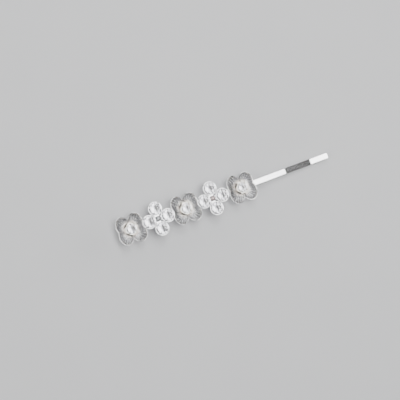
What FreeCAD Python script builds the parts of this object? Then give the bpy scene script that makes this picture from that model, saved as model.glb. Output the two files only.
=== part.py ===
import FreeCAD, Part
import os
from math import cos, pi, radians, sin, tan

# Hair grip: one strip of spring steel folded into two legs, with a row of five small flowers
# soldered along the upper leg. Flowers 1, 3 and 5 are cast petals round one claw-set stone.
# Flowers 2 and 4 are four claw-set stones round a bead, on a cut plate.
#
# Frame, in millimetres: +X runs along the grip from its fold to its tip, +Y across it, and +Z up
# through the flowers. The origin is under the middle of the whole piece, on the face that it
# rests on, which is the underside of the lower leg.

# Spring strip
strip_width = 1.9
strip_thickness = 0.45
strip_edge_radius = 0.2
grip_length = 66.0  # outside of the fold to the tip of the upper leg
leg_gap = 1.3  # between the legs, at the fold
lower_leg_shortfall = 2.2  # how far the lower leg stops short of the upper one
touch_clearance = 0.08  # between the legs where they meet, when the grip is shut
crease_radius = 1.5
tip_bulge = 0.35  # how far each leg's end bows out past its corners

# Upper leg past the flowers, measured from the centre of the last one
tail_length = 29.0
level_length = 14.7
dip_length = 23.4
flick_angle = 9.0

# Row of flowers
flower_pitches = (8.45, 8.70, 8.50, 9.35)
solder_thickness = 0.15
solder_length = 3.0
solder_width = 1.6

# Cast petals
petal_centre_x = 1.90
petal_centre_y = 1.50
petal_half_x = 2.22
petal_half_y = 2.77
petal_thickness = 0.35
large_petal_scale = 1.05  # the petal on the tip side, to the right, is cast a little larger
dish_radius = 6.0
dish_centre = 1.3  # the lowest point of each petal's dish, along X and along Y
rim_width = 0.36
rim_height = 0.16
rib_count = 7
rib_width = 0.26
rib_height = 0.12
rib_root = 0.6  # the ribs fan out from here, along X and along Y
boss_radius = 2.0
boss_height = 0.7
boss_chamfer = 0.15
neighbour_clearance = 0.05  # between the petals and the next flower's cups

# Stones and their cups
centre_stone_radius = 1.5
petal_stone_crown = 0.46
petal_stone_pavilion = 1.20
row_stone_radius = 1.82
row_stone_crown = 0.55
row_stone_pavilion = 1.45
girdle_height = 0.1
table_share = 0.52  # of the stone's radius
star_share = 0.79
stone_facets = 8
cup_wall = 0.19
cup_floor = 0.2
cup_hole_radius = 0.45
cup_corner = 0.15
stone_clearance = 0.02
seat_width = 0.14
rim_above_girdle = 0.05
claw_count = 4
claw_width = 0.44
claw_reach = 0.36
claw_thickness = 0.14

# Four-stone flowers
cup_offset_x = 2.90
cup_offset_y = 3.03
plate_thickness = 0.4
plate_disc_radius = 1.45
plate_arm_width = 1.3
bead_radius = 0.82
bead_stem_radius = 0.45
bead_above_plate = 1.0

# Worked out from the above
petal_reach = petal_centre_x + petal_half_x
whole_length = petal_reach + sum(flower_pitches) + tail_length
tip_x = whole_length / 2
flower_x = [petal_reach - tip_x + sum(flower_pitches[:i]) for i in range(5)]
fold_radius = leg_gap / 2 + strip_thickness
fold_x = tip_x - grip_length + fold_radius
lower_z = strip_thickness / 2
upper_z = lower_z + strip_thickness + leg_gap
leg_top = upper_z + strip_thickness / 2
flower_base = leg_top + solder_thickness
row_cup_radius = row_stone_radius + stone_clearance + cup_wall

V = FreeCAD.Vector
UP = V(0, 0, 1)
ACROSS = V(0, 1, 0)
ALONG = V(1, 0, 0)


def save(shape, name):
    if not shape.isValid() or len(shape.Solids) != 1:
        raise ValueError(f"{name} is not one valid solid")
    solid = shape.Solids[0]
    solid.exportStep(f"parts/{name}.step")
    print(f"{name}: {solid.Volume:.3f} mm3")


def face_of(points):
    return Part.Face(Part.makePolygon(points + points[:1]))


# ---- Spring strip: upper leg, fold and lower leg ----


def strip_section(x, z):
    """The strip's rounded cross-section, square to X and centred on (x, z)."""
    side = strip_width / 2
    half = strip_thickness / 2
    r = strip_edge_radius
    diagonal = r * (1 - cos(pi / 4))
    edges = []
    for sy, sz in ((1, 1), (-1, 1), (-1, -1), (1, -1)):
        beside = V(x, sy * side, z + sz * (half - r))
        corner = V(x, sy * (side - diagonal), z + sz * (half - diagonal))
        above = V(x, sy * (side - r), z + sz * half)
        ends = (beside, above) if sy == sz else (above, beside)
        edges.append((ends[0], corner, ends[1]))
    outline = []
    for i, (start, middle, end) in enumerate(edges):
        outline.append(Part.Arc(start, middle, end).toShape())
        outline.append(Part.LineSegment(end, edges[(i + 1) % 4][0]).toShape())
    return Part.Wire(outline)


def creased_path(corners):
    """Straight runs through the (x, z) corners, joined by tangent arcs of the crease radius."""
    points = [V(x, 0, z) for x, z in corners]
    edges = []
    start = points[0]
    for before, corner, after in zip(points, points[1:], points[2:]):
        arriving = (corner - before).normalize()
        leaving = (after - corner).normalize()
        half_turn = arriving.getAngle(leaving) / 2
        back = crease_radius * tan(half_turn)
        towards_centre = (leaving - arriving).normalize()
        sagitta = crease_radius * (1 / cos(half_turn) - 1)
        arc_start = corner - arriving * back
        arc_end = corner + leaving * back
        edges.append(Part.LineSegment(start, arc_start).toShape())
        edges.append(Part.Arc(arc_start, corner + towards_centre * sagitta, arc_end).toShape())
        start = arc_end
    edges.append(Part.LineSegment(start, points[-1]).toShape())
    return Part.Wire(edges)


def plan_with_bowed_end(end_x):
    """A tall prism over a leg's outline in plan, from the fold to its bowed end."""
    side = strip_width / 2 + strip_edge_radius
    corner_x = end_x - tip_bulge
    start_x = fold_x - strip_thickness
    bow = Part.Arc(V(corner_x, -side, 0), V(end_x, 0, 0), V(corner_x, side, 0)).toShape()
    sides = [V(corner_x, side, 0), V(start_x, side, 0), V(start_x, -side, 0), V(corner_x, -side, 0)]
    lines = [Part.LineSegment(a, b).toShape() for a, b in zip(sides, sides[1:])]
    return Part.Face(Part.Wire([bow] + lines)).extrude(UP * (2 * leg_top))


def leg(corners, end_x):
    swept = creased_path(corners).makePipeShell([strip_section(*corners[0])], True, False)
    return swept.common(plan_with_bowed_end(end_x))


def upper_leg():
    touch_z = strip_thickness + touch_clearance + strip_thickness / 2
    crease_x = flower_x[4] + level_length
    touch_x = flower_x[4] + dip_length
    past_tip = tip_x + strip_thickness
    corners = [
        (fold_x, upper_z),
        (crease_x, upper_z),
        (touch_x, touch_z),
        (past_tip, touch_z + (past_tip - touch_x) * tan(radians(flick_angle))),
    ]
    return leg(corners, tip_x)


def lower_leg():
    end_x = tip_x - lower_leg_shortfall
    return leg([(fold_x, lower_z), (end_x + strip_thickness, lower_z)], end_x)


def spring_fold():
    section = Part.Face(strip_section(fold_x, upper_z))
    return section.revolve(V(fold_x, 0, (upper_z + lower_z) / 2), ACROSS, -180)


def solder_pad(x):
    """Flat pad of solder on the upper leg; the first is moved clear of the fold."""
    centre_x = max(x, fold_x + solder_length / 2)
    corner = V(centre_x - solder_length / 2, -solder_width / 2, leg_top)
    pad = Part.makeBox(solder_length, solder_width, solder_thickness, corner)
    upright = [e for e in pad.Edges if abs(e.tangentAt(e.FirstParameter).z) > 0.9]
    return pad.makeFillet(solder_width / 3, upright)


# ---- Stones: round brilliants with a pointed, foiled back ----


def stone(radius, crown, pavilion, girdle_bottom):
    """Faceted stone about the Z axis: table, star, kite and girdle facets, then the back."""
    girdle_top = girdle_bottom + girdle_height
    table_z = girdle_top + crown
    step = pi / stone_facets

    def ring(r, z, first, count):
        turns = [first * step + 2 * pi * i / count for i in range(count)]
        return [V(r * cos(t), r * sin(t), z) for t in turns]

    # A star point lies in the plane of the two kites beside it.
    down = (star_share * cos(step) - table_share) / (1 - table_share)
    table = ring(radius * table_share, table_z, 0, stone_facets)
    star = ring(radius * star_share, table_z - crown * down, 1, stone_facets)
    sides = 2 * stone_facets
    upper = ring(radius, girdle_top, 0, sides)
    lower = ring(radius, girdle_bottom, 0, sides)
    culet = V(0, 0, girdle_bottom - pavilion)
    faces = [face_of(table)]
    for i in range(stone_facets):
        after = (i + 1) % stone_facets
        point, side, next_point = 2 * i, 2 * i + 1, (2 * i + 2) % sides
        faces.append(face_of([table[i], star[i], table[after]]))
        faces.append(face_of([table[i], star[i - 1], upper[point], star[i]]))
        faces.append(face_of([star[i], upper[point], upper[side]]))
        faces.append(face_of([star[i], upper[side], upper[next_point]]))
    for i in range(sides):
        after = (i + 1) % sides
        faces.append(face_of([upper[i], lower[i], lower[after], upper[after]]))
        faces.append(face_of([lower[i], culet, lower[after]]))
    solid = Part.Solid(Part.Shell(faces))
    return solid if solid.Volume > 0 else solid.reversed()


def claw_cup(base, radius, crown, pavilion, girdle_bottom):
    """Turned cup about the Z axis with a sloped seat, and claws bent over the stone's kites."""
    inside = radius + stone_clearance
    outside = inside + cup_wall
    floor = base + cup_floor
    rim = girdle_bottom + girdle_height + rim_above_girdle
    seat = inside - seat_width
    profile = [
        V(cup_hole_radius, 0, base),
        V(outside - cup_corner, 0, base),
        V(outside, 0, base + cup_corner),
        V(outside, 0, rim),
        V(inside, 0, rim),
        V(inside, 0, girdle_bottom),
        V(seat, 0, girdle_bottom - seat_width * pavilion / radius),
        V(seat, 0, floor),
        V(cup_hole_radius, 0, floor),
    ]
    cup = face_of(profile).revolve(V(0, 0, 0), UP, 360)

    slope = crown / (radius * (1 - table_share))
    tip = radius - claw_reach
    girdle_top = girdle_bottom + girdle_height
    under_tip = girdle_top + stone_clearance + claw_reach * slope
    side = claw_width / 2
    outline = [
        V(inside, -side, girdle_top - claw_thickness),
        V(inside, -side, girdle_top + stone_clearance),
        V(tip, -side, under_tip),
        V(tip, -side, under_tip + claw_thickness),
        V(inside + cup_wall / 3, -side, girdle_top + claw_thickness + stone_clearance),
        V(outside, -side, girdle_top - claw_thickness),
    ]
    claw = face_of(outline).extrude(ACROSS * claw_width)
    claw.rotate(V(0, 0, 0), UP, 180 / claw_count)
    for _ in range(claw_count):
        cup = cup.fuse(claw)
        claw.rotate(V(0, 0, 0), UP, 360 / claw_count)
    return cup.removeSplitter()


# ---- Cast petals ----


def upright_ellipse(centre_x, centre_y, half_x, half_y):
    """A tall prism over an ellipse that is longer across the grip than along it."""
    centre = V(centre_x, centre_y, 0)
    curve = Part.Ellipse(centre + ACROSS * half_y, centre + ALONG * half_x, centre)
    return Part.Face(Part.Wire([curve.toShape()])).extrude(UP * dish_radius)


def petal(scale):
    """One dished petal in the +X +Y quarter, with its rim and its fan of ribs, on z = 0."""
    x, y = petal_centre_x * scale, petal_centre_y * scale
    outline = upright_ellipse(x, y, petal_half_x * scale, petal_half_y * scale)
    within = upright_ellipse(x, y, petal_half_x * scale - rim_width, petal_half_y * scale - rim_width)
    middle = V(dish_centre, dish_centre, dish_radius)
    back = Part.makeSphere(dish_radius, middle)
    front = Part.makeSphere(dish_radius - petal_thickness, middle)
    dish = outline.common(back).cut(front)

    rim_front = Part.makeSphere(dish_radius - petal_thickness - rim_height, middle)
    rim = outline.cut(within).common(back).cut(rim_front)

    root = V(rib_root, rib_root, 0)
    fan = []
    for i in range(rib_count):
        rib = Part.makeBox(2 * petal_reach, rib_width, dish_radius, root - ACROSS * (rib_width / 2))
        rib.rotate(root, UP, 90 * (i + 0.5) / rib_count)
        fan.append(rib)
    rib_front = Part.makeSphere(dish_radius - petal_thickness - rib_height, middle)
    ribs = fan[0].multiFuse(fan[1:]).common(within).common(back).cut(rib_front)

    quarter = Part.makeBox(2 * petal_reach, 2 * petal_reach, dish_radius)
    return dish.multiFuse([rim, ribs]).common(quarter)


def petal_casting():
    """Four petals round a boss, which the cup of the middle stone stands on."""
    usual = petal(1.0)
    large = petal(large_petal_scale)
    left_of_tip = usual
    left_of_fold = usual.mirror(V(0, 0, 0), ALONG)
    right_of_fold = left_of_fold.mirror(V(0, 0, 0), ACROSS)
    right_of_tip = large.mirror(V(0, 0, 0), ACROSS)
    boss = Part.makeCylinder(boss_radius, boss_height)
    top = [e for e in boss.Edges if abs(e.BoundBox.ZMin - boss_height) < 1e-6]
    boss = boss.makeChamfer(boss_chamfer, top)
    return boss.multiFuse([left_of_tip, left_of_fold, right_of_fold, right_of_tip])


def notched(casting, x):
    """The casting at x, its petals cut away where the cups of the next flowers tuck in."""
    placed = casting.translated(V(x, 0, flower_base))
    radius = row_cup_radius + neighbour_clearance
    for other in (flower_x[1], flower_x[3]):
        for side in (-1, 1):
            cup = Part.makeCylinder(radius, 2 * dish_radius, V(other + side * cup_offset_x, 0, 0))
            placed = placed.cut(cup)
    return placed


# ---- Plates and beads of the four-stone flowers ----


def cup_places():
    return {
        "fold_side": (-cup_offset_x, 0),
        "tip_side": (cup_offset_x, 0),
        "left": (0, cup_offset_y),
        "right": (0, -cup_offset_y),
    }


def backplate():
    """Plate under the four cups: a disc under each, on arms that meet in the middle."""
    arm_x = Part.makeBox(
        2 * cup_offset_x, plate_arm_width, plate_thickness, V(-cup_offset_x, -plate_arm_width / 2, 0)
    )
    arm_y = Part.makeBox(
        plate_arm_width, 2 * cup_offset_y, plate_thickness, V(-plate_arm_width / 2, -cup_offset_y, 0)
    )
    discs = [
        Part.makeCylinder(plate_disc_radius, plate_thickness, V(x, y, 0)) for x, y in cup_places().values()
    ]
    return arm_x.multiFuse([arm_y] + discs).removeSplitter()


def bead():
    stem = Part.makeCylinder(bead_stem_radius, bead_above_plate)
    ball = Part.makeSphere(bead_radius, V(0, 0, bead_above_plate))
    return stem.fuse(ball).removeSplitter()


# ---- The whole piece ----

os.makedirs("parts", exist_ok=True)

save(upper_leg(), "upper_leg")
save(spring_fold(), "spring_fold")
save(lower_leg(), "lower_leg")
for number, x in enumerate(flower_x, 1):
    save(solder_pad(x), f"flower_{number}_solder")

casting = petal_casting()
cup_base = flower_base + boss_height
girdle = cup_base + cup_floor + stone_clearance + petal_stone_pavilion
centre_cut = (centre_stone_radius, petal_stone_crown, petal_stone_pavilion, girdle)
centre_cup = claw_cup(cup_base, *centre_cut)
centre_stone = stone(*centre_cut)
for number in (1, 3, 5):
    x = flower_x[number - 1]
    save(notched(casting, x), f"flower_{number}_petals")
    save(centre_cup.translated(V(x, 0, 0)), f"flower_{number}_cup")
    save(centre_stone.translated(V(x, 0, 0)), f"flower_{number}_stone")

plate = backplate()
middle_bead = bead()
cup_base = flower_base + plate_thickness
girdle = cup_base + cup_floor + stone_clearance + row_stone_pavilion
row_cut = (row_stone_radius, row_stone_crown, row_stone_pavilion, girdle)
row_cup = claw_cup(cup_base, *row_cut)
row_stone = stone(*row_cut)
for number in (2, 4):
    x = flower_x[number - 1]
    save(plate.translated(V(x, 0, flower_base)), f"flower_{number}_backplate")
    save(middle_bead.translated(V(x, 0, cup_base)), f"flower_{number}_bead")
    for place, (dx, dy) in cup_places().items():
        save(row_cup.translated(V(x + dx, dy, 0)), f"flower_{number}_cup_{place}")
        save(row_stone.translated(V(x + dx, dy, 0)), f"flower_{number}_stone_{place}")
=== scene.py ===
from math import acos, cos, hypot, pi, radians, sin, sqrt, tan

import bmesh
import bpy
from mathutils import Matrix, Vector
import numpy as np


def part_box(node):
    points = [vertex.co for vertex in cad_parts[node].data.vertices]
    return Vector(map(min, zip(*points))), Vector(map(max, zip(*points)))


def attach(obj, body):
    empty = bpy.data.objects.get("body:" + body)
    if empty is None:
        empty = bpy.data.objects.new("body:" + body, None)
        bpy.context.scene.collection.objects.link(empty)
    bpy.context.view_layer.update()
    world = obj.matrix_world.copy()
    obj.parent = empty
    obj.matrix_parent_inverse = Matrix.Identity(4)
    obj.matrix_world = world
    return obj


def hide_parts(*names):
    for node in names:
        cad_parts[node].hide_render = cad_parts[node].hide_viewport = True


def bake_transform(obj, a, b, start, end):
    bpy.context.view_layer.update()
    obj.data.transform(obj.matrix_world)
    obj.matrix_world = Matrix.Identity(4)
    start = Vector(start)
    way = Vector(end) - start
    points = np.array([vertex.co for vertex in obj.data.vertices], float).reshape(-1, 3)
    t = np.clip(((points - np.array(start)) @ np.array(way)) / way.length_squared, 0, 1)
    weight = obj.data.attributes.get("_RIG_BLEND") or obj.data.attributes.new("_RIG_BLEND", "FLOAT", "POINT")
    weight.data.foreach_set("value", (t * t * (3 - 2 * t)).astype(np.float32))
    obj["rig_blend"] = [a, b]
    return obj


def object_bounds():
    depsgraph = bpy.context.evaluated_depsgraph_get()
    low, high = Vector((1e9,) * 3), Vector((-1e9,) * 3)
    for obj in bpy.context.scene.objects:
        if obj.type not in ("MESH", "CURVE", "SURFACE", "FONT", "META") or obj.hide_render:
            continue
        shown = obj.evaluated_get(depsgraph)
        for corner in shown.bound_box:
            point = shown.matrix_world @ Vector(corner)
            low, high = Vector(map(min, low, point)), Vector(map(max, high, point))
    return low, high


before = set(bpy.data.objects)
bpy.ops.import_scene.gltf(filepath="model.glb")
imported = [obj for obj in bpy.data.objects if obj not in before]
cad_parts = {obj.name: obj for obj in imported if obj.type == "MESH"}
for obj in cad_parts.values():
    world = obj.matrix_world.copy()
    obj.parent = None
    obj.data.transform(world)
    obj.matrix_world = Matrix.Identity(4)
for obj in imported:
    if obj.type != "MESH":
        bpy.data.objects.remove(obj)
cad_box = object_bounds()
mm = 0.001

# ---- Camera ----
# A long lens looks down on the grip. It leans towards the fold, and it is turned so that the
# row of flowers climbs from the lower left.

lean = radians(12)
climb = radians(20.5)
camera_distance = 320 * mm
lens_length = 98  # millimetres
aim_along = -7.6 * mm  # from the middle of the grip, towards its fold
aim_across = 0.85 * mm

backwards = Vector((-sin(lean), 0, cos(lean)))
grip_seen = Vector((cos(lean), 0, sin(lean)))
width_seen = Vector((0, 1, 0))
right = cos(climb) * grip_seen - sin(climb) * width_seen
up = sin(climb) * grip_seen + cos(climb) * width_seen
aim = (cad_box[0] + cad_box[1]) / 2 + aim_along * grip_seen + aim_across * width_seen

camera_data = bpy.data.cameras.new("camera")
camera_data.lens = lens_length
camera_data.clip_start = 10 * mm
camera = bpy.data.objects.new("camera", camera_data)
turn = Matrix((right, up, backwards)).transposed().to_4x4()
camera.matrix_world = Matrix.Translation(aim + camera_distance * backwards) @ turn
bpy.context.collection.objects.link(camera)
bpy.context.scene.camera = camera

# ---- Floor and lights ----
# A plain pale tabletop. Three narrow soft panels hang over the grip, so that the level strip is
# bright and the stones have bright and dark facets. Other panels stand on the left, low beyond
# the tip, and over the fold. The room has pale walls and a dark ceiling.


def add_node(tree, kind, inputs=None, **settings):
    """A new node in a tree, with its settings, and its inputs given values or linked to sockets."""
    made = tree.nodes.new(kind)
    for name, value in settings.items():
        setattr(made, name, value)
    for name, value in (inputs or {}).items():
        if isinstance(value, bpy.types.NodeSocket):
            tree.links.new(value, made.inputs[name])
        else:
            made.inputs[name].default_value = value
    return made


def new_material(name):
    """An empty node material: its tree, and the Principled shader that ends it."""
    material = bpy.data.materials.new(name)
    material.use_nodes = True
    tree = material.node_tree
    return material, tree, tree.nodes["Principled BSDF"]


floor_material, tree, shader = new_material("pale_tabletop")
place = add_node(tree, "ShaderNodeTexCoord").outputs["Object"]
mottle = add_node(tree, "ShaderNodeTexNoise", {"Vector": place, "Scale": 40.0, "Detail": 4.0})
tint = add_node(tree, "ShaderNodeMix", {"Factor": mottle.outputs["Fac"]}, data_type="RGBA")
tint.inputs[6].default_value = (0.82, 0.825, 0.84, 1)
tint.inputs[7].default_value = (0.87, 0.875, 0.885, 1)
tree.links.new(tint.outputs[2], shader.inputs["Base Color"])
shader.inputs["Roughness"].default_value = 0.7

floor_size = 1.6  # metres
bpy.ops.mesh.primitive_plane_add(size=floor_size, location=(0, 0, 0))
floor = bpy.context.object
floor.name = "floor"
floor.data.materials.append(floor_material)


def panel_light(name, place, width, height, power):
    """A soft rectangular light that faces the grip."""
    data = bpy.data.lights.new(name, "AREA")
    data.shape = "RECTANGLE"
    data.size = width
    data.size_y = height
    data.energy = power
    light = bpy.data.objects.new(name, data)
    light.location = place
    light.rotation_euler = (-Vector(place)).to_track_quat("-Z", "Y").to_euler()
    bpy.context.collection.objects.link(light)


panel_light("overhead_middle", place=(0.05, 0.0, 0.40), width=0.14, height=0.24, power=0.80)
panel_light("overhead_left", place=(0.05, 0.21, 0.36), width=0.14, height=0.24, power=0.55)
panel_light("overhead_right", place=(0.05, -0.22, 0.36), width=0.10, height=0.24, power=0.20)
panel_light("left_side", place=(0.0, 0.42, 0.16), width=0.50, height=0.14, power=0.4)
panel_light("tip_side_low", place=(0.45, 0.0, 0.12), width=0.34, height=0.14, power=0.9)
panel_light("fold_side", place=(-0.38, 0.0, 0.34), width=0.40, height=0.20, power=0.7)

wall_brightness = 0.50
ceiling_brightness = 0.03
wall_top = 0.10  # the sine of its angle above the horizon, as is the next
ceiling_start = 0.34

world = bpy.data.worlds.new("room")
bpy.context.scene.world = world
world.use_nodes = True
tree = world.node_tree
looking = add_node(tree, "ShaderNodeTexCoord").outputs["Generated"]
height = add_node(tree, "ShaderNodeSeparateXYZ", {"Vector": looking}).outputs["Z"]
room = add_node(
    tree,
    "ShaderNodeMapRange",
    {
        "Value": height,
        "From Min": wall_top,
        "From Max": ceiling_start,
        "To Min": wall_brightness,
        "To Max": ceiling_brightness,
    },
    interpolation_type="SMOOTHSTEP",
)
tree.links.new(room.outputs["Result"], tree.nodes["Background"].inputs["Color"])

# ---- Spring strip ----
# One length of hard flat steel strip with rolled round edges, bright plated. It is folded into
# an upper and a lower leg; the upper one dips to meet the lower, and its tip flicks up.

strip_low, strip_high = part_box("lower_leg")
leg_low, leg_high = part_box("upper_leg")
strip_thickness = strip_high.z - strip_low.z
strip_width = strip_high.y - strip_low.y
edge_round = 0.2 * mm
end_bow = 0.35 * mm  # how far the end of a leg bows out
bowed_length = 1.0 * mm
crease_radius = 1.5 * mm
level_length = 14.7 * mm  # from the last flower's middle to the crease
dip_length = 23.4 * mm  # from the last flower's middle to where the legs meet
flick = radians(9)
arc_steps = 10
fold_steps = 40


def calculate(tree, operation, *values):
    """The result of a new math node, its inputs given values or linked to sockets."""
    return add_node(tree, "ShaderNodeMath", dict(enumerate(values)), operation=operation).outputs[0]


strip_tree = bpy.data.node_groups.new("rolled_strip", "GeometryNodeTree")
strip_tree.interface.new_socket("Geometry", in_out="OUTPUT", socket_type="NodeSocketGeometry")
strip_tree.interface.new_socket("Path", in_out="INPUT", socket_type="NodeSocketGeometry")
for size in ("Width", "Thickness", "Edge Round", "End Bow", "Bowed Length"):
    strip_tree.interface.new_socket(size, in_out="INPUT", socket_type="NodeSocketFloat")
strip_tree.interface.new_socket("Material", in_out="INPUT", socket_type="NodeSocketMaterial")
given = strip_tree.nodes.new("NodeGroupInput").outputs
path = add_node(strip_tree, "GeometryNodeMeshToCurve", {"Mesh": given["Path"]})
spline = add_node(strip_tree, "GeometryNodeSplineParameter")
length = add_node(strip_tree, "GeometryNodeSplineLength")
from_end = calculate(strip_tree, "SUBTRACT", length.outputs["Length"], spline.outputs["Length"])
marked = add_node(strip_tree, "GeometryNodeCaptureAttribute", {"Geometry": path.outputs["Curve"]})
marked.capture_items.new("FLOAT", "from_end")
marked.capture_items.new("VECTOR", "along")
strip_tree.links.new(from_end, marked.inputs["from_end"])
tangent = add_node(strip_tree, "GeometryNodeInputTangent")
strip_tree.links.new(tangent.outputs["Tangent"], marked.inputs["along"])
section = add_node(
    strip_tree,
    "GeometryNodeCurvePrimitiveQuadrilateral",
    {"Width": given["Width"], "Height": given["Thickness"]},
)
rounded = add_node(
    strip_tree,
    "GeometryNodeFilletCurve",
    {"Curve": section.outputs["Curve"], "Count": 6, "Radius": given["Edge Round"]},
    mode="POLY",
)
divided = add_node(
    strip_tree,
    "GeometryNodeSubdivideCurve",
    {"Curve": rounded.outputs["Curve"], "Cuts": 5},
)
swept = add_node(
    strip_tree,
    "GeometryNodeCurveToMesh",
    {
        "Curve": marked.outputs["Geometry"],
        "Profile Curve": divided.outputs["Curve"],
        "Fill Caps": True,
    },
)
nearness = add_node(
    strip_tree,
    "ShaderNodeMapRange",
    {"Value": marked.outputs["from_end"], "From Min": given["Bowed Length"], "From Max": 0.0},
)
# The sides lie half a width off, and are drawn back by the whole bow: 4 * 0.5 ** 2 is 1. The
# middle is not drawn back at all.
position = add_node(strip_tree, "GeometryNodeInputPosition").outputs["Position"]
across = add_node(strip_tree, "ShaderNodeSeparateXYZ", {"Vector": position}).outputs["Y"]
share = calculate(strip_tree, "DIVIDE", across, given["Width"])
squared = calculate(strip_tree, "MULTIPLY", share, share)
bow = calculate(strip_tree, "MULTIPLY", squared, given["End Bow"])
drawn = calculate(strip_tree, "MULTIPLY", bow, nearness.outputs["Result"])
back_off = calculate(strip_tree, "MULTIPLY", drawn, -4.0)
shift = add_node(
    strip_tree,
    "ShaderNodeVectorMath",
    {0: marked.outputs["along"], "Scale": back_off},
    operation="SCALE",
)
bowed = add_node(
    strip_tree,
    "GeometryNodeSetPosition",
    {"Geometry": swept.outputs["Mesh"], "Offset": shift.outputs["Vector"]},
)


def finish_tree(tree, shape, material):
    """End a geometry tree: real geometry, in one material."""
    real = add_node(tree, "GeometryNodeRealizeInstances", {"Geometry": shape})
    clad = add_node(
        tree, "GeometryNodeSetMaterial", {"Geometry": real.outputs["Geometry"], "Material": material}
    )
    add_node(tree, "NodeGroupOutput", {"Geometry": clad.outputs["Geometry"]})


finish_tree(strip_tree, bowed.outputs["Geometry"], given["Material"])


def add_piece(name, mesh):
    """A new object in the scene, at the origin, for a mesh."""
    piece = bpy.data.objects.new(name, mesh)
    bpy.context.collection.objects.link(piece)
    return piece


def grown(name, mesh, tree, **sizes):
    """Run a geometry tree on a mesh and keep what it makes as a plain mesh object."""
    piece = add_piece(name, mesh)
    modifier = piece.modifiers.new(tree.name, "NODES")
    modifier.node_group = tree
    for socket in tree.interface.items_tree:
        if socket.in_out == "INPUT" and socket.name in sizes:
            modifier[socket.identifier] = sizes[socket.name]
    finished = piece.evaluated_get(bpy.context.evaluated_depsgraph_get())
    plain = bpy.data.meshes.new_from_object(finished)
    piece.modifiers.clear()
    piece.data = plain
    plain.name = name
    return piece


def smooth(piece, crease_angle):
    """Smooth shading, except over edges sharper than the crease angle."""
    piece.data.shade_smooth()
    piece.data.set_sharp_from_angle(angle=crease_angle)


def path_mesh(points):
    """A line of edges through (x, z) points, in the middle plane of the grip."""
    mesh = bpy.data.meshes.new("path")
    vertices = [(x, 0, z) for x, z in points]
    mesh.from_pydata(vertices, [(i, i + 1) for i in range(len(points) - 1)], [])
    return mesh


def with_bends(corners):
    """The (x, z) corners of a path, with each inner corner turned into a round bend."""
    path = [corners[0]]
    for before, corner, after in zip(corners, corners[1:], corners[2:]):
        corner = Vector(corner)
        arriving = (corner - Vector(before)).normalized()
        leaving = (Vector(after) - corner).normalized()
        half_turn = arriving.angle(leaving) / 2
        start = corner - arriving * crease_radius * tan(half_turn)
        towards = (leaving - arriving).normalized()
        centre = corner + towards * (crease_radius / cos(half_turn))
        spoke = start - centre
        side = 1 if arriving.cross(leaving) > 0 else -1
        for step in range(arc_steps + 1):
            spin = Matrix.Rotation(side * 2 * half_turn * step / arc_steps, 2)
            path.append(tuple(centre + spin @ spoke))
    last = Vector(corners[-1])
    run = (last - Vector(corners[-2])).normalized()
    path.append(tuple(last - run * bowed_length))
    path.append(tuple(last))
    return path


# Bright plating, as on the strip, the petals and the cups: fine polishing lines, and a cloudy
# tone that is rougher where it is duller. Each material gives the group its own scales.
plating = bpy.data.node_groups.new("bright_plating", "ShaderNodeTree")
plating.interface.new_socket("Vector", in_out="INPUT", socket_type="NodeSocketVector")
for name in ("Line Scale", "Cloud Scale", "Base Roughness", "Spread"):
    plating.interface.new_socket(name, in_out="INPUT", socket_type="NodeSocketFloat")
for name in ("Bright", "Dull"):
    plating.interface.new_socket(name, in_out="INPUT", socket_type="NodeSocketColor")
plating.interface.new_socket("Color", in_out="OUTPUT", socket_type="NodeSocketColor")
plating.interface.new_socket("Roughness", in_out="OUTPUT", socket_type="NodeSocketFloat")
plating.interface.new_socket("Height", in_out="OUTPUT", socket_type="NodeSocketFloat")
given = plating.nodes.new("NodeGroupInput").outputs
lines = add_node(
    plating,
    "ShaderNodeTexNoise",
    {"Vector": given["Vector"], "Scale": given["Line Scale"], "Detail": 5.0},
)
clouds = add_node(
    plating,
    "ShaderNodeTexNoise",
    {"Vector": given["Vector"], "Scale": given["Cloud Scale"], "Detail": 3.0, "Roughness": 0.6},
)
dulled = add_node(
    plating,
    "ShaderNodeMapRange",
    {"Value": clouds.outputs["Fac"], "From Min": 0.45, "From Max": 0.75},
)
tone = add_node(plating, "ShaderNodeMix", {"Factor": dulled.outputs["Result"]}, data_type="RGBA")
plating.links.new(given["Bright"], tone.inputs[6])
plating.links.new(given["Dull"], tone.inputs[7])
uneven = calculate(plating, "ADD", lines.outputs["Fac"], dulled.outputs["Result"])
rough = calculate(plating, "MULTIPLY_ADD", uneven, given["Spread"], given["Base Roughness"])
plated = plating.nodes.new("NodeGroupOutput")
plating.links.new(tone.outputs[2], plated.inputs["Color"])
plating.links.new(rough, plated.inputs["Roughness"])
plating.links.new(lines.outputs["Fac"], plated.inputs["Height"])


def add_plating(tree, shader, vector, bright, dull, **scales):
    """Put bright plating in a metal's material, with its own tones and scales."""
    finish = add_node(tree, "ShaderNodeGroup", {}, node_tree=plating)
    tree.links.new(vector, finish.inputs["Vector"])
    finish.inputs["Bright"].default_value = (*bright, 1)
    finish.inputs["Dull"].default_value = (*dull, 1)
    for name, value in scales.items():
        finish.inputs[name.replace("_", " ").title()].default_value = value
    tree.links.new(finish.outputs["Color"], shader.inputs["Base Color"])
    tree.links.new(finish.outputs["Roughness"], shader.inputs["Roughness"])
    shader.inputs["Metallic"].default_value = 1
    return finish


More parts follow.
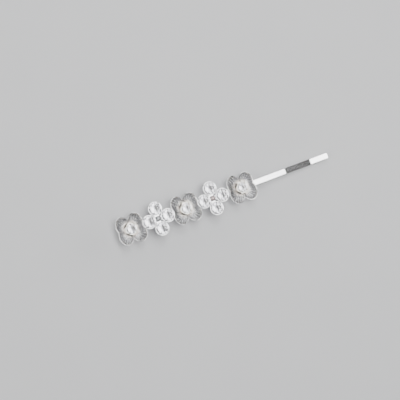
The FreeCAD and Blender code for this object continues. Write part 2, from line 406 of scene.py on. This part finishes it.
strip_material, tree, shader = new_material("plated_spring_strip")
place = add_node(tree, "ShaderNodeTexCoord").outputs["Object"]
lengthwise = add_node(tree, "ShaderNodeMapping", {"Vector": place, "Scale": (0.06, 1.0, 1.0)})
finish = add_plating(
    tree,
    shader,
    lengthwise.outputs["Vector"],
    bright=(0.86, 0.86, 0.865),
    dull=(0.77, 0.77, 0.785),
    line_scale=5000,
    cloud_scale=700,
    base_roughness=0.16,
    spread=0.1,
)
brushed = add_node(
    tree,
    "ShaderNodeBump",
    {"Height": finish.outputs["Height"], "Strength": 0.15, "Distance": 0.01 * mm},
)
tree.links.new(brushed.outputs["Normal"], shader.inputs["Normal"])

fold_x = leg_low.x
lower_z = strip_thickness / 2
upper_z = leg_high.z - strip_thickness / 2
touch_z = leg_low.z + strip_thickness / 2
last_flower = (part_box("flower_5_cup")[0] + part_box("flower_5_cup")[1]) / 2
crease_x = last_flower.x + level_length
touch_x = last_flower.x + dip_length
tip_x = leg_high.x - strip_thickness / 2 * sin(flick)  # the middle of the sloping end
tip_z = touch_z + (tip_x - touch_x) * tan(flick)
strip_sizes = {
    "Width": strip_width,
    "Thickness": strip_thickness,
    "Edge Round": edge_round,
    "Bowed Length": bowed_length,
    "Material": strip_material,
}
upper_path = with_bends([(fold_x, upper_z), (crease_x, upper_z), (touch_x, touch_z), (tip_x, tip_z)])
lower_path = with_bends([(fold_x, lower_z), (strip_high.x, lower_z)])
fold_radius = (upper_z - lower_z) / 2
fold_turns = [pi / 2 + pi * step / fold_steps for step in range(fold_steps + 1)]
fold_middle_z = (upper_z + lower_z) / 2
fold_path = [(fold_x + fold_radius * cos(a), fold_middle_z + fold_radius * sin(a)) for a in fold_turns]
for node, line, bow in (
    ("upper_leg", upper_path, end_bow),
    ("lower_leg", lower_path, end_bow),
    ("spring_fold", fold_path, 0.0),
):
    piece = grown("strip_" + node, path_mesh(line), strip_tree, **strip_sizes, **{"End Bow": bow})
    smooth(piece, crease_angle=radians(40))
    if node == "spring_fold":
        top = (fold_x, 0, leg_high.z)
        bottom = (fold_x, 0, 0)
        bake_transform(piece, "decorated_leg", "lower_leg", start=top, end=bottom)
    else:
        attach(piece, "decorated_leg" if node == "upper_leg" else "lower_leg")
    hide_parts(node)

# ---- Solder ----
# A thin flat joint of soft solder holds each flower on the upper leg. It is greyer than the
# plating, and a little lumpy.

solder_material, tree, shader = new_material("soft_solder")
place = add_node(tree, "ShaderNodeTexCoord").outputs["Object"]
lumps = add_node(tree, "ShaderNodeTexNoise", {"Vector": place, "Scale": 2500.0, "Detail": 3.0})
grey = add_node(tree, "ShaderNodeMix", {"Factor": lumps.outputs["Fac"]}, data_type="RGBA")
grey.inputs[6].default_value = (0.42, 0.42, 0.44, 1)
grey.inputs[7].default_value = (0.60, 0.60, 0.61, 1)
tree.links.new(grey.outputs[2], shader.inputs["Base Color"])
rough = add_node(
    tree,
    "ShaderNodeMapRange",
    {"Value": lumps.outputs["Fac"], "To Min": 0.3, "To Max": 0.5},
)
tree.links.new(rough.outputs["Result"], shader.inputs["Roughness"])
shader.inputs["Metallic"].default_value = 1
skin = add_node(
    tree,
    "ShaderNodeBump",
    {"Height": lumps.outputs["Fac"], "Strength": 0.5, "Distance": 0.04 * mm},
)
tree.links.new(skin.outputs["Normal"], shader.inputs["Normal"])
for number in range(1, 6):
    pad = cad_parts[f"flower_{number}_solder"]
    for material_slot in pad.material_slots:
        material_slot.material = solder_material

# ---- Cast petals ----
# Flowers 1, 3 and 5: four dished petals round a boss, cast in one piece and plated. Each petal
# has a raised round rim and a fan of fine ribs on a crossed ground, with shade painted on the
# ground so that it is darker than the rim and the ribs. The neighbours' cups tuck into notches.

petal_middle = Vector((1.90, 1.50)) * mm
petal_half = Vector((2.22, 2.77)) * mm
large_petal = 1.05  # the petal on the tip side, to the right, is a little larger
petal_thickness = 0.35 * mm
dish_radius = 6.0 * mm
dish_lowest = Vector((1.3, 1.3)) * mm
rim_width = 0.42 * mm
rim_height = 0.17 * mm
rib_root = Vector((0.6, 0.6)) * mm
rib_count = 7
rib_radius = 0.13 * mm
rib_start = 1.1 * mm  # from the root
rib_end_gap = 0.30 * mm  # from the outline
boss_radius = 2.0 * mm
boss_height = 0.7 * mm
boss_hole = 0.3 * mm
boss_edge = 0.12 * mm
notch_gap = 0.05 * mm
hatch_lines_round = 7  # in a quarter turn
hatch_lines_out = 6
hatch_line_edge = -0.2  # of a sine wave: where a line starts, and where it is full
hatch_line_full = 0.8
hatch_line_shade = 0.4  # how much of the painted shade on the ground is left on a line
ground_matt = 0.14  # the rougher skin between the ribs
warm_inside = 1.8 * mm  # the warm tint is full within this radius, and gone at the next
warm_outside = 3.0 * mm
petal_spokes = 150
petal_rings = 26
ring_crowding = 1.6  # crowds the rings towards the rim
rib_steps = 24


def outline_reach(start, heading, middle, half, notches):
    """How far a ray on the petal's plan goes before it leaves the petal."""
    px, py = (start - middle).x / half.x, (start - middle).y / half.y
    dx, dy = heading.x / half.x, heading.y / half.y
    a, b, c = dx * dx + dy * dy, px * dx + py * dy, px * px + py * py - 1
    reach = (-b + sqrt(b * b - a * c)) / a
    for edge, pace in ((start.x, heading.x), (start.y, heading.y)):
        if pace < 0:
            reach = min(reach, -edge / pace)
    for centre, radius in notches:
        to_centre = centre - start
        nearest = to_centre.dot(heading)
        miss = to_centre.length_squared - nearest * nearest
        if nearest > 0 and miss < radius * radius:
            reach = min(reach, nearest - sqrt(radius * radius - miss))
    return reach


def dish_height(point, depth):
    """Height of the dished face that lies a depth inside the petal's back."""
    return dish_radius - sqrt((dish_radius - depth) ** 2 - (point - dish_lowest).length_squared)


def rim_rise(point, middle, half):
    """The rim's round profile, from the distance in from the petal's oval outline."""
    offset = point - middle
    share = hypot(offset.x / half.x, offset.y / half.y)
    inwards = (1 / share - 1) * offset.length / rim_width if share > 0 else 2
    if inwards >= 1:
        return 0
    return rim_height * sqrt(max(0, 1 - (2 * inwards - 1) ** 2)) if inwards > 0 else 0


def petal_mesh(build, quarter, size, notches, base):
    """Add one closed petal to a bmesh: its ribless front, its edge and its back."""
    middle = petal_middle * size
    half = petal_half * size
    rings = [1 - (1 - i / petal_rings) ** ring_crowding for i in range(1, petal_rings + 1)]
    masks = build.verts.layers.float
    fronts, backs = [], []
    for i in range(petal_spokes):
        angle = 2 * pi * i / petal_spokes - 3 * pi / 4  # the spokes start and end under the boss
        heading = Vector((cos(angle), sin(angle)))
        reach = outline_reach(rib_root, heading, middle, half, notches)
        front, back = [], []
        for share in rings:
            point = rib_root + heading * reach * share
            rise = rim_rise(point, middle, half)
            x, y = quarter[0] * point.x, quarter[1] * point.y
            top = base + dish_height(point, petal_thickness) + rise
            front.append(build.verts.new((x, y, top)))
            back.append(build.verts.new((x, y, base + dish_height(point, 0))))
            # Painted shade: this mask darkens the front everywhere except on the rim's top.
            front[-1][masks["recess_shade"]] = 1 - min(1, 2 * rise / rim_height)
            front[-1][masks["fan"]] = angle / (pi / 2)
            front[-1][masks["outwards"]] = share
        fronts.append(front)
        backs.append(back)
    root = (quarter[0] * rib_root.x, quarter[1] * rib_root.y)
    front_root = build.verts.new((*root, base + dish_height(rib_root, petal_thickness)))
    back_root = build.verts.new((*root, base + dish_height(rib_root, 0)))
    for i in range(petal_spokes):
        j = (i + 1) % petal_spokes
        build.faces.new((front_root, fronts[i][0], fronts[j][0]))
        build.faces.new((back_root, backs[j][0], backs[i][0]))
        for k in range(petal_rings - 1):
            build.faces.new((fronts[i][k], fronts[i][k + 1], fronts[j][k + 1], fronts[j][k]))
            build.faces.new((backs[i][k], backs[j][k], backs[j][k + 1], backs[i][k + 1]))
        build.faces.new((fronts[i][-1], backs[i][-1], backs[j][-1], fronts[j][-1]))


def turned(build, profile, segments=64):
    """Add a turned shape to a bmesh, from the (r, z) points round its closed section."""
    rings = []
    for i in range(segments):
        a = 2 * pi * i / segments
        rings.append([build.verts.new((r * cos(a), r * sin(a), z)) for r, z in profile])
    count = len(profile)
    for i in range(segments):
        after = rings[(i + 1) % segments]
        for k in range(count):
            m = (k + 1) % count
            build.faces.new((rings[i][k], after[k], after[m], rings[i][m]))


def closed_mesh(build, name):
    """A finished bmesh as a mesh, with its faces outwards."""
    bmesh.ops.recalc_face_normals(build, faces=build.faces)
    mesh = bpy.data.meshes.new(name)
    build.to_mesh(mesh)
    build.free()
    return mesh


def place_piece(piece, node, x, y):
    """Put a finished piece where its node is, and let it ride in the node's place."""
    piece.data.transform(Matrix.Translation((x, y, 0)))
    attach(piece, "decorated_leg")
    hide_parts(node)


ribs_tree = bpy.data.node_groups.new("petal_ribs", "GeometryNodeTree")
ribs_tree.interface.new_socket("Geometry", in_out="OUTPUT", socket_type="NodeSocketGeometry")
ribs_tree.interface.new_socket("Lines", in_out="INPUT", socket_type="NodeSocketGeometry")
ribs_tree.interface.new_socket("Radius", in_out="INPUT", socket_type="NodeSocketFloat")
ribs_tree.interface.new_socket("Material", in_out="INPUT", socket_type="NodeSocketMaterial")
given = ribs_tree.nodes.new("NodeGroupInput").outputs
path = add_node(ribs_tree, "GeometryNodeMeshToCurve", {"Mesh": given["Lines"]})
spline = add_node(ribs_tree, "GeometryNodeSplineParameter")
# A rib starts thin, is full for most of its length, and ends thinner still.
taper = add_node(ribs_tree, "ShaderNodeFloatCurve", {"Value": spline.outputs["Factor"]})
curve = taper.mapping.curves[0]
curve.points[0].location = (0, 0.55)
curve.points[1].location = (1, 0.25)
curve.points.new(0.15, 0.8)
curve.points.new(0.85, 1.0)
thinned = add_node(
    ribs_tree,
    "GeometryNodeSetCurveRadius",
    {"Curve": path.outputs["Curve"], "Radius": taper.outputs["Value"]},
)
wire = add_node(
    ribs_tree,
    "GeometryNodeCurvePrimitiveCircle",
    {"Resolution": 10, "Radius": given["Radius"]},
)
swept = add_node(
    ribs_tree,
    "GeometryNodeCurveToMesh",
    {
        "Curve": thinned.outputs["Curve"],
        "Profile Curve": wire.outputs["Curve"],
        "Fill Caps": True,
    },
)
finish_tree(ribs_tree, swept.outputs["Mesh"], given["Material"])

petal_material, tree, shader = new_material("plated_casting")
place = add_node(tree, "ShaderNodeTexCoord").outputs["Object"]
finish = add_plating(
    tree,
    shader,
    place,
    bright=(0.90, 0.90, 0.905),
    dull=(0.80, 0.80, 0.82),
    line_scale=2200,
    cloud_scale=500,
    base_roughness=0.10,
    spread=0.10,
)
warmth = add_node(tree, "ShaderNodeAttribute", attribute_name="near_stone")
warm = add_node(tree, "ShaderNodeMix", {"Factor": warmth.outputs["Fac"]}, data_type="RGBA")
tree.links.new(finish.outputs["Color"], warm.inputs[6])
warm.inputs[7].default_value = (0.90, 0.84, 0.78, 1)
recess_shade = add_node(tree, "ShaderNodeAttribute", attribute_name="recess_shade").outputs["Fac"]
fan = add_node(tree, "ShaderNodeAttribute", attribute_name="fan").outputs["Fac"]
outwards = add_node(tree, "ShaderNodeAttribute", attribute_name="outwards").outputs["Fac"]
# Two sets of lines spiral outwards, one each way round, and cross.
round_phase = calculate(tree, "MULTIPLY", fan, 2 * pi * hatch_lines_round)
out_phase = calculate(tree, "MULTIPLY", outwards, 2 * pi * hatch_lines_out)
one_way = calculate(tree, "SINE", calculate(tree, "ADD", round_phase, out_phase))
other_way = calculate(tree, "SINE", calculate(tree, "SUBTRACT", round_phase, out_phase))
crossed = calculate(tree, "MAXIMUM", one_way, other_way)
hatch = add_node(
    tree,
    "ShaderNodeMapRange",
    {
        "Value": crossed,
        "From Min": hatch_line_edge,
        "From Max": hatch_line_full,
        "To Min": 1.0,
        "To Max": hatch_line_shade,
    },
)
# Painted shade: the dished ground between the ribs is made darker, less so on the crossed lines. The rim,
# the ribs and the ground near the stone keep the plating's tone.
shade = calculate(tree, "MULTIPLY", hatch.outputs["Result"], recess_shade)
painted_shade = add_node(
    tree,
    "ShaderNodeMix",
    {"Factor": shade},
    data_type="RGBA",
    blend_type="MULTIPLY",
)
tree.links.new(warm.outputs[2], painted_shade.inputs[6])
painted_shade.inputs[7].default_value = (0.13, 0.13, 0.15, 1)
tree.links.new(painted_shade.outputs[2], shader.inputs["Base Color"])
rough = calculate(tree, "MULTIPLY_ADD", recess_shade, ground_matt, finish.outputs["Roughness"])
tree.links.new(rough, shader.inputs["Roughness"])
cast_skin = add_node(
    tree,
    "ShaderNodeBump",
    {"Height": finish.outputs["Height"], "Strength": 0.2, "Distance": 0.03 * mm},
)
hatched = add_node(
    tree,
    "ShaderNodeBump",
    {
        "Height": shade,
        "Strength": 0.8,
        "Distance": 0.05 * mm,
        "Normal": cast_skin.outputs["Normal"],
    },
    invert=True,
)
tree.links.new(hatched.outputs["Normal"], shader.inputs["Normal"])

# Each quarter's side along and across the grip, and its petal's size.
quarters = [((1, 1), 1.0), ((-1, 1), 1.0), ((-1, -1), 1.0), ((1, -1), large_petal)]
neighbour_cups = [f"flower_{n}_cup_{side}" for n in (2, 4) for side in ("fold_side", "tip_side")]
for number in (1, 3, 5):
    node = f"flower_{number}_petals"
    middle_low, middle_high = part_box(f"flower_{number}_cup")
    centre_x = (middle_low.x + middle_high.x) / 2
    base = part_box(node)[0].z
    build = bmesh.new()
    for mask in ("recess_shade", "fan", "outwards"):
        build.verts.layers.float.new(mask)
    rib_lines = bpy.data.meshes.new("rib_lines")
    points, edges = [], []
    for (sx, sy), size in quarters:
        notches = []
        for cup in neighbour_cups:
            cup_low, cup_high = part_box(cup)
            away = ((cup_low.x + cup_high.x) / 2 - centre_x) * sx
            notches.append((Vector((away, 0)), (cup_high.y - cup_low.y) / 2 + notch_gap))
        petal_mesh(build, (sx, sy), size, notches, base)
        for rib in range(rib_count):
            angle = pi / 2 * (rib + 0.5) / rib_count
            heading = Vector((cos(angle), sin(angle)))
            middle, half = petal_middle * size, petal_half * size
            reach = outline_reach(rib_root, heading, middle, half, notches)
            first = len(points)
            for step in range(rib_steps + 1):
                out = rib_start + (reach - rib_end_gap - rib_start) * step / rib_steps
                point = rib_root + heading * out
                height = base + dish_height(point, petal_thickness)
                points.append((sx * point.x, sy * point.y, height))
            edges += [(first + step, first + step + 1) for step in range(rib_steps)]
    boss_top = base + boss_height
    boss_profile = [
        (boss_hole, base),
        (boss_radius, base),
        (boss_radius, boss_top - boss_edge),
        (boss_radius - boss_edge, boss_top),
        (boss_hole, boss_top),
    ]
    turned(build, boss_profile)
    rib_lines.from_pydata(points, edges, [])
    ribs = grown("ribs", rib_lines, ribs_tree, Radius=rib_radius, Material=petal_material)
    build.from_mesh(ribs.data)
    bpy.data.objects.remove(ribs)
    near_stone = build.verts.layers.float.new("near_stone")
    ground_shade = build.verts.layers.float["recess_shade"]
    # The painted shade fades out near the stone, where the warm tint comes in.
    for vertex in build.verts:
        out = hypot(vertex.co.x, vertex.co.y)
        warmth = (warm_outside - out) / (warm_outside - warm_inside)
        vertex[near_stone] = max(0, min(1, warmth))
        vertex[ground_shade] *= 1 - vertex[near_stone]
    mesh = closed_mesh(build, node)
    mesh.materials.clear()
    mesh.materials.append(petal_material)
    piece = add_piece(f"petals_of_flower_{number}", mesh)
    smooth(piece, crease_angle=radians(50))
    place_piece(piece, node, centre_x, 0)

# ---- Claw cups ----
# Round cups with a hole in the floor, pressed from sheet and plated, each with four claws bent
# over its stone. A small one stands on each petal boss, and four larger ones are fixed to each
# backplate.

cup_wall = 0.19 * mm
cup_floor = 0.2 * mm
cup_hole = 0.45 * mm
cup_corner = 0.15 * mm
seat_width = 0.14 * mm
seat_slope = 0.1 * mm
rim_above_girdle = 0.05 * mm
girdle_height = 0.1 * mm
claw_count = 4
claw_width = 0.46 * mm
claw_thickness = 0.15 * mm
claw_reach = 0.36 * mm
claw_root = 0.5 * mm  # how far down the wall the claw starts
bend_inwards = 0.3 * claw_thickness  # the claw's bend, from the wall and above the rim
bend_above_rim = 1.6 * claw_thickness

claws_tree = bpy.data.node_groups.new("cup_claws", "GeometryNodeTree")
claws_tree.interface.new_socket("Geometry", in_out="OUTPUT", socket_type="NodeSocketGeometry")
claws_tree.interface.new_socket("Cup", in_out="INPUT", socket_type="NodeSocketGeometry")
claws_tree.interface.new_socket("Count", in_out="INPUT", socket_type="NodeSocketInt")
for size in ("Start", "Bend", "End"):
    claws_tree.interface.new_socket(size, in_out="INPUT", socket_type="NodeSocketVector")
for size in ("Width", "Thickness"):
    claws_tree.interface.new_socket(size, in_out="INPUT", socket_type="NodeSocketFloat")
claws_tree.interface.new_socket("Material", in_out="INPUT", socket_type="NodeSocketMaterial")
given = claws_tree.nodes.new("NodeGroupInput").outputs
spine = add_node(
    claws_tree,
    "GeometryNodeCurveQuadraticBezier",
    {"Resolution": 12, "Start": given["Start"], "Middle": given["Bend"], "End": given["End"]},
)
spline = add_node(claws_tree, "GeometryNodeSplineParameter")
# A claw keeps its width past its bend, and narrows to its tip.
taper = add_node(claws_tree, "ShaderNodeFloatCurve", {"Value": spline.outputs["Factor"]})
curve = taper.mapping.curves[0]
curve.points[0].location = (0, 1)
curve.points[1].location = (1, 0.35)
curve.points.new(0.6, 0.95)
curve.points.new(0.9, 0.75)
tapered = add_node(
    claws_tree,
    "GeometryNodeSetCurveRadius",
    {"Curve": spine.outputs["Curve"], "Radius": taper.outputs["Value"]},
)
disc = add_node(claws_tree, "GeometryNodeCurvePrimitiveCircle", {"Resolution": 14, "Radius": 0.5})
flat = add_node(
    claws_tree,
    "ShaderNodeCombineXYZ",
    {"X": given["Width"], "Y": given["Thickness"], "Z": 1.0},
)
oval = add_node(
    claws_tree,
    "GeometryNodeTransform",
    {"Geometry": disc.outputs["Curve"], "Scale": flat.outputs["Vector"]},
)
claw = add_node(
    claws_tree,
    "GeometryNodeCurveToMesh",
    {
        "Curve": tapered.outputs["Curve"],
        "Profile Curve": oval.outputs["Geometry"],
        "Fill Caps": True,
    },
)
ring = add_node(claws_tree, "GeometryNodeMeshCircle", {"Vertices": given["Count"], "Radius": 0.0})
# The claws stand half a step off the grip's length, between the neighbouring cups.
which = add_node(claws_tree, "GeometryNodeInputIndex").outputs["Index"]
half_past = calculate(claws_tree, "ADD", which, 0.5)
turn_step = calculate(claws_tree, "DIVIDE", 2 * pi, given["Count"])
turns = calculate(claws_tree, "MULTIPLY", half_past, turn_step)
facing = add_node(claws_tree, "ShaderNodeCombineXYZ", {"Z": turns})
spread = add_node(
    claws_tree,
    "GeometryNodeInstanceOnPoints",
    {
        "Points": ring.outputs["Mesh"],
        "Instance": claw.outputs["Mesh"],
        "Rotation": facing.outputs["Vector"],
    },
)
joined = claws_tree.nodes.new("GeometryNodeJoinGeometry")
claws_tree.links.new(given["Cup"], joined.inputs["Geometry"])
claws_tree.links.new(spread.outputs["Instances"], joined.inputs["Geometry"])
finish_tree(claws_tree, joined.outputs["Geometry"], given["Material"])


def pressed_metal(name, bright, dull, roughness=0.08):
    """Bright plating on a small pressed or turned part, a little dulled by handling."""
    material, tree, shader = new_material(name)
    place = add_node(tree, "ShaderNodeTexCoord").outputs["Object"]
    add_plating(
        tree,
        shader,
        place,
        bright,
        dull,
        line_scale=3500,
        cloud_scale=800,
        base_roughness=roughness,
        spread=0.08,
    )
    return material


silver_cup = pressed_metal("silver_plated_cup", (0.90, 0.90, 0.91), (0.80, 0.80, 0.82))
warm_cup = pressed_metal("warm_plated_cup", (0.93, 0.90, 0.83), (0.84, 0.80, 0.72))


def claw_cup(name, node, girdle_z, radius, crown_slope, material):
    """One cup with its claws round a stone of this girdle height, radius and crown slope."""
    low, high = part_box(node)
    base = low.z
    outside = (high.y - low.y) / 2
    inside = outside - cup_wall
    rim = girdle_z + girdle_height + rim_above_girdle
    lip = cup_wall / 3
    seat = inside - seat_width
    corner_cut = cup_corner * 0.3  # makes the bottom corner round, in two steps
    profile = [
        (cup_hole, base),
        (outside - cup_corner, base),
        (outside - corner_cut, base + corner_cut),
        (outside, base + cup_corner),
        (outside, rim - lip),
        (outside - lip, rim),
        (inside + lip / 2, rim),
        (inside, rim - lip / 2),
        (inside, girdle_z),
        (seat, girdle_z - seat_slope),
        (seat, base + cup_floor),
        (cup_hole, base + cup_floor),
    ]
    build = bmesh.new()
    turned(build, profile)
    tip_rise = claw_reach * crown_slope + claw_thickness / 2  # the claw lies on the crown
    piece = grown(
        name,
        closed_mesh(build, name),
        claws_tree,
        Count=claw_count,
        Start=(outside - claw_thickness / 2, 0, rim - claw_root),
        Bend=(outside - bend_inwards, 0, rim + bend_above_rim),
        End=(radius - claw_reach, 0, girdle_z + girdle_height + tip_rise),
        Width=claw_width,
        Thickness=claw_thickness,
        Material=material,
    )
    smooth(piece, crease_angle=radians(40))
    place_piece(piece, node, (low.x + high.x) / 2, (low.y + high.y) / 2)


# ---- Stones ----
# Round glass stones, cut as brilliants, with a foiled back like a mirror. Each lies on the seat
# of its cup, and the claws hold it down.

stone_facets = 8
table_share = 0.52  # of the radius, as are the next two
star_share = 0.79  # the outer corners of the star facets
corner_share = 0.5  # the corners of the kites round the point

glass_material, tree, shader = new_material("faceted_glass")
place = add_node(tree, "ShaderNodeTexCoord").outputs["Object"]
smudge = add_node(tree, "ShaderNodeTexNoise", {"Vector": place, "Scale": 600.0, "Detail": 3.0})
rough = add_node(
    tree,
    "ShaderNodeMapRange",
    {"Value": smudge.outputs["Fac"], "From Min": 0.4, "To Min": 0.0, "To Max": 0.05},
)
tree.links.new(rough.outputs["Result"], shader.inputs["Roughness"])
shader.inputs["Base Color"].default_value = (0.99, 0.99, 1.0, 1)
shader.inputs["IOR"].default_value = 1.56
shader.inputs["Transmission Weight"].default_value = 1

foil_material, tree, shader = new_material("foiled_back")
place = add_node(tree, "ShaderNodeTexCoord").outputs["Object"]
patchy = add_node(tree, "ShaderNodeTexNoise", {"Vector": place, "Scale": 900.0, "Detail": 3.0})
tone = add_node(tree, "ShaderNodeMix", {"Factor": patchy.outputs["Fac"]}, data_type="RGBA")
tone.inputs[6].default_value = (0.88, 0.88, 0.885, 1)
tone.inputs[7].default_value = (0.72, 0.72, 0.74, 1)
tree.links.new(tone.outputs[2], shader.inputs["Base Color"])
shader.inputs["Metallic"].default_value = 1
shader.inputs["Roughness"].default_value = 0.04


def stone(name, node, pavilion):
    """A brilliant with a foiled back. Gives its girdle's height, its radius and crown slope."""
    low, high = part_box(node)
    radius = (high.y - low.y) / 2
    girdle_z = low.z + pavilion
    girdle_top = girdle_z + girdle_height
    crown = high.z - girdle_top
    step = pi / stone_facets
    count = 2 * stone_facets
    star_drop = crown * (star_share * cos(step) - table_share) / (1 - table_share)
    build = bmesh.new()

    def ring(r, z, half_steps, number):
        turns = [half_steps * step + 2 * pi * i / number for i in range(number)]
        return [build.verts.new((r * cos(a), r * sin(a), z)) for a in turns]

    table = ring(radius * table_share, high.z, 0, stone_facets)
    star = ring(radius * star_share, high.z - star_drop, 1, stone_facets)
    upper = ring(radius, girdle_top, 0, count)
    lower = ring(radius, girdle_z, 0, count)
    corner_z = low.z + corner_share * cos(step) * pavilion
    corners = ring(radius * corner_share, corner_z, 1, stone_facets)
    culet = build.verts.new((0, 0, low.z))
    build.faces.new(table)
    for i in range(stone_facets):
        after = table[(i + 1) % stone_facets]
        point, side, next_point = upper[2 * i], upper[2 * i + 1], upper[(2 * i + 2) % count]
        build.faces.new((table[i], star[i], after))
        build.faces.new((table[i], star[i - 1], point, star[i]))
        build.faces.new((star[i], point, side))
        build.faces.new((star[i], side, next_point))
        point, side, next_point = lower[2 * i], lower[2 * i + 1], lower[(2 * i + 2) % count]
        backs = [(culet, corners[i - 1], point, corners[i])]
        backs += [(corners[i], point, side), (corners[i], side, next_point)]
        for back in backs:
            build.faces.new(back).material_index = 1
    for i in range(count):
        after = (i + 1) % count
        build.faces.new((upper[i], lower[i], lower[after], upper[after]))
    mesh = closed_mesh(build, name)
    mesh.materials.append(glass_material)
    mesh.materials.append(foil_material)
    piece = add_piece(name, mesh)
    place_piece(piece, node, (low.x + high.x) / 2, (low.y + high.y) / 2)
    return girdle_z, radius, crown / (radius * (1 - table_share))


centre_pavilion = 1.20 * mm  # depth of the stone below its girdle
for number in (1, 3, 5):
    cut = stone(f"stone_of_flower_{number}", f"flower_{number}_stone", centre_pavilion)
    claw_cup(f"cup_of_flower_{number}", f"flower_{number}_cup", *cut, warm_cup)

row_pavilion = 1.45 * mm
for number in (2, 4):
    for where in ("fold_side", "tip_side", "left", "right"):
        stone_node = f"flower_{number}_stone_{where}"
        cup_node = f"flower_{number}_cup_{where}"
        cut = stone(f"stone_{where}_of_flower_{number}", stone_node, row_pavilion)
        claw_cup(f"cup_{where}_of_flower_{number}", cup_node, *cut, silver_cup)

# ---- Backplates and beads ----
# Flowers 2 and 4: a stamped and plated metal plate under the four cups, and a small metal bead
# on a stem that covers the middle where the cups meet.

plate_material = pressed_metal("stamped_plate", (0.84, 0.84, 0.85), (0.72, 0.72, 0.74))
for number in (2, 4):
    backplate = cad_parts[f"flower_{number}_backplate"]
    for material_slot in backplate.material_slots:
        material_slot.material = plate_material

bead_stem = 0.45 * mm
bead_steps = 24
satin = 0.38  # roughness
weld_distance = 0.0001 * mm
bead_finishes = {
    2: pressed_metal("silver_bead", (0.80, 0.80, 0.81), (0.68, 0.68, 0.70), satin),
    4: pressed_metal("rose_bead", (0.95, 0.80, 0.79), (0.86, 0.70, 0.70), satin),
}
for number, finish in bead_finishes.items():
    node = f"flower_{number}_bead"
    low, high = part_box(node)
    ball = (high.y - low.y) / 2
    ball_z = high.z - ball
    stem_angle = -acos(bead_stem / ball)  # where the ball leaves the stem
    outline = [(0, low.z), (bead_stem, low.z)]
    for i in range(bead_steps + 1):
        a = stem_angle + (pi / 2 - stem_angle) * i / bead_steps
        outline.append((ball * cos(a), ball_z + ball * sin(a)))
    build = bmesh.new()
    turned(build, outline, segments=48)
    bmesh.ops.remove_doubles(build, verts=build.verts, dist=weld_distance)
    axis = [edge for edge in build.edges if edge.is_wire]
    bmesh.ops.delete(build, geom=axis, context="EDGES")
    mesh = closed_mesh(build, node)
    mesh.materials.append(finish)
    piece = add_piece(f"bead_of_flower_{number}", mesh)
    smooth(piece, crease_angle=radians(50))
    place_piece(piece, node, (low.x + high.x) / 2, (low.y + high.y) / 2)
